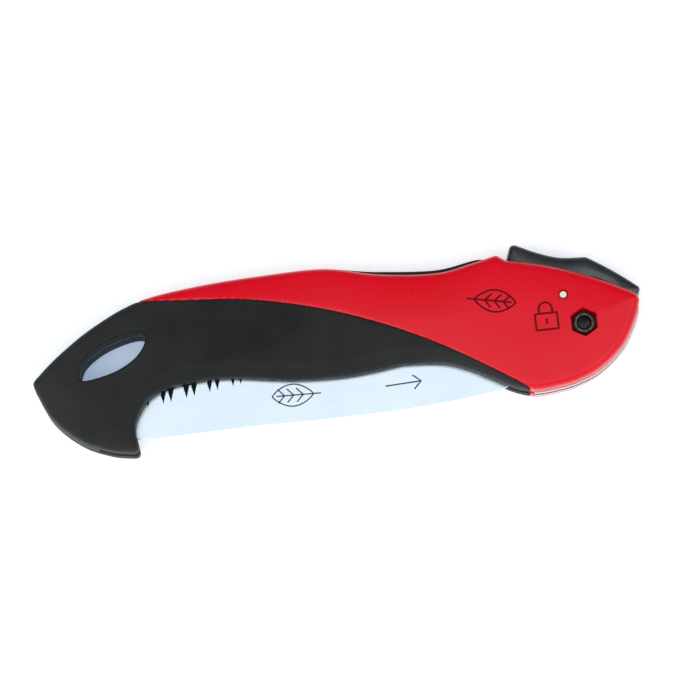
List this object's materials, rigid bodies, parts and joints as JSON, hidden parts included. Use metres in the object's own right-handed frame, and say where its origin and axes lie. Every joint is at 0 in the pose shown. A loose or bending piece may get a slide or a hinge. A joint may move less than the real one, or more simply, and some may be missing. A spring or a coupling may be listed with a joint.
{
  "type": "folding pruning saw",
  "caption": "Folding pruning saw, closed: curved two-colour handle with hooked tail and hang hole, toothed blade folded into its slot, sprung lock lever above the pivot.",
  "frame": {"origin": "middle of the saw's bounding box, on the surface it lies on", "axes": "+X along the handle from the hooked tail to the pivot end, +Y towards the back edge that carries the lever, +Z from the back side (bolt head) to the front side (nut)"},
  "size_m": [0.2214, 0.0576, 0.02],
  "materials": {
    "red_nylon": "semi-gloss moulded",
    "black_rubber": "matte, finely textured",
    "black_nylon": "matte moulded",
    "gloss_black": "polished moulded",
    "blade_steel": "bright, finely ground",
    "bright_steel": "turned or punched, bright",
    "black_steel": "black oxide",
    "bronze": "bearing bronze",
    "dark_nylon": "matte"
  },
  "bodies": {
    "handle": {"handle_shell_front": "red_nylon", "handle_shell_back": "red_nylon", "grip_front": "black_rubber", "grip_back": "black_rubber", "spine_frame": "black_nylon", "top_grip_strip": "black_rubber", "liner_front": "bright_steel", "liner_back": "bright_steel", "lever_pin": "bright_steel", "lever_spring": "bright_steel", "pivot_bolt": "black_steel", "pivot_nut": "black_steel", "nut_locking_ring": "dark_nylon", "bolt_washer": "black_steel", "pivot_bush": "bronze", "blade_washer_front": "bronze", "blade_washer_back": "bronze", "shell_dowel_1": "bright_steel", "shell_dowel_2": "bright_steel", "shell_dowel_3": "bright_steel", "shell_dowel_4": "bright_steel"},
    "blade": {"blade": "blade_steel"},
    "lever": {"lock_lever": "gloss_black"}
  },
  "joints": [
    {"name": "blade_pivot", "type": "hinge", "parent": "handle", "child": "blade", "pos_m": [0.08867, -0.00694, 0.01], "axis": [0, 0, 1], "range_deg": [0, 180]},
    {"name": "lock_lever_pivot", "type": "hinge", "parent": "handle", "child": "lever", "pos_m": [0.08277, 0.00426, 0.01], "axis": [0, 0, 1], "range_deg": [-7, 5], "stiffness_Nm_per_rad": 0.2, "deforming": ["lever_spring"]}
  ]
}
